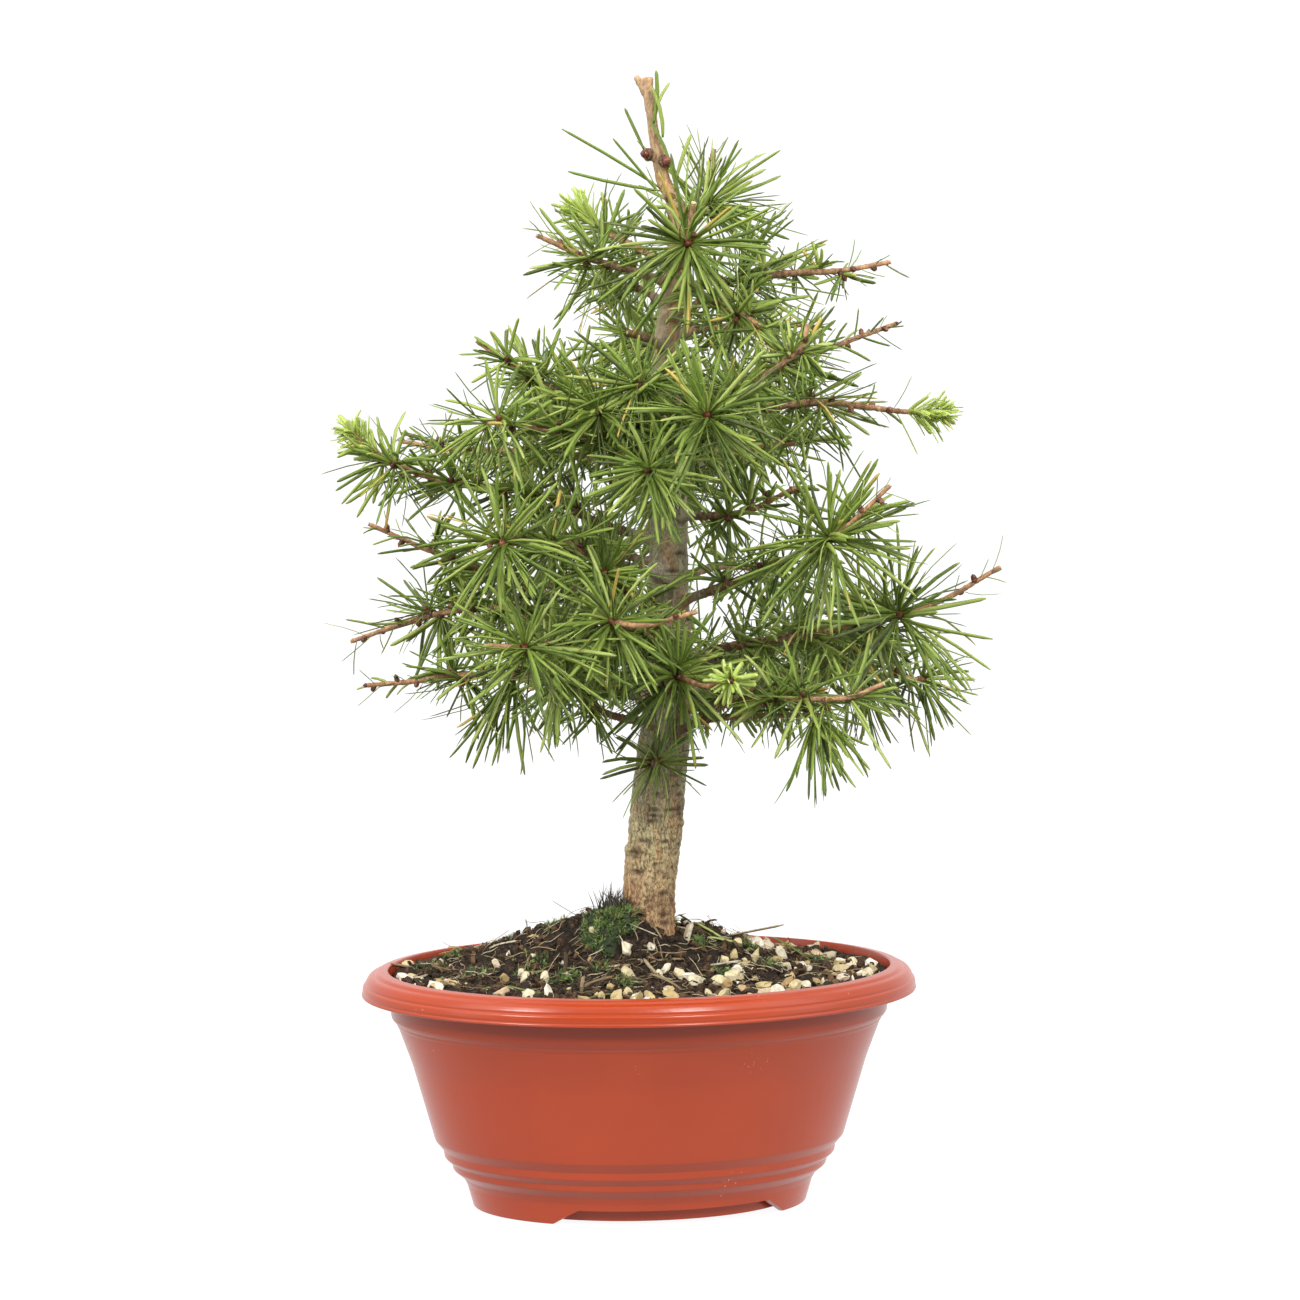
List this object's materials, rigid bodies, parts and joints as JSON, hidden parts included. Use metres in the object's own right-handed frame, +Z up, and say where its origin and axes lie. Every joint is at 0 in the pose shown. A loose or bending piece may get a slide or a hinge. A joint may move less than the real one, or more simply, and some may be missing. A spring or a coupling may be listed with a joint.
{
  "type": "larch bonsai",
  "caption": "Young upright larch bonsai with soft needle rosettes on open limbs, in an oval plastic pot with a rolled rim, stepped foot and low feet.",
  "frame": {"origin": "centre of the whole object's box, on the ground under the pot", "axes": "+Z up, X along the pot's long side; the tree's front faces -Y, turned 17 degrees towards -X"},
  "size_m": [0.2685, 0.2469, 0.4351],
  "materials": {
    "pot_plastic": "gloss",
    "peat_soil": "matte",
    "moss_green": "matte",
    "larch_bark": "matte",
    "needle_green": "satin"
  },
  "bodies": {
    "root": {"pot": "pot_plastic", "soil": "peat_soil", "moss": "moss_green", "trunk": "larch_bark", "spray_left_long": "needle_green", "spray_left_high": "needle_green", "spray_left_upper": "needle_green", "spray_left_front_upper": "needle_green", "spray_left_front_mid": "needle_green", "spray_left_mid": "needle_green", "spray_left_low": "needle_green", "spray_left_lowest": "needle_green", "spray_front_left_low": "needle_green", "spray_front_low": "needle_green", "spray_front_lowest": "needle_green", "spray_right_lowest_back": "needle_green", "spray_right_mid_front": "needle_green", "spray_right_low": "needle_green", "spray_right_front_low": "needle_green", "spray_right_front_drooping": "needle_green", "spray_right_lowest": "needle_green", "spray_right_upper": "needle_green", "spray_right_front_upper": "needle_green", "spray_right_tip": "needle_green", "spray_right_mid": "needle_green", "spray_right_inner": "needle_green", "spray_top_left": "needle_green", "spray_top_left_back": "needle_green", "spray_top_right": "needle_green", "spray_top_front": "needle_green", "spray_top_short": "needle_green", "spray_upper_left_small": "needle_green", "spray_upper_front_right": "needle_green", "spray_upper_left_back": "needle_green", "spray_upper_right_back": "needle_green", "spray_upper_back": "needle_green", "spray_mid_front_left": "needle_green", "spray_mid_front_centre": "needle_green", "spray_mid_front_right": "needle_green", "spray_mid_front_low": "needle_green", "spray_mid_left_back": "needle_green", "spray_mid_right_back": "needle_green", "spray_mid_back": "needle_green", "spray_low_left_back": "needle_green", "spray_low_right_back": "needle_green", "spray_low_front_inner": "needle_green", "spray_lowest_left_back": "needle_green", "spray_lowest_right_back": "needle_green", "spray_lowest_back": "needle_green", "spray_small_front_left": "needle_green", "spray_trunk_spur": "needle_green"}
  },
  "joints": []
}
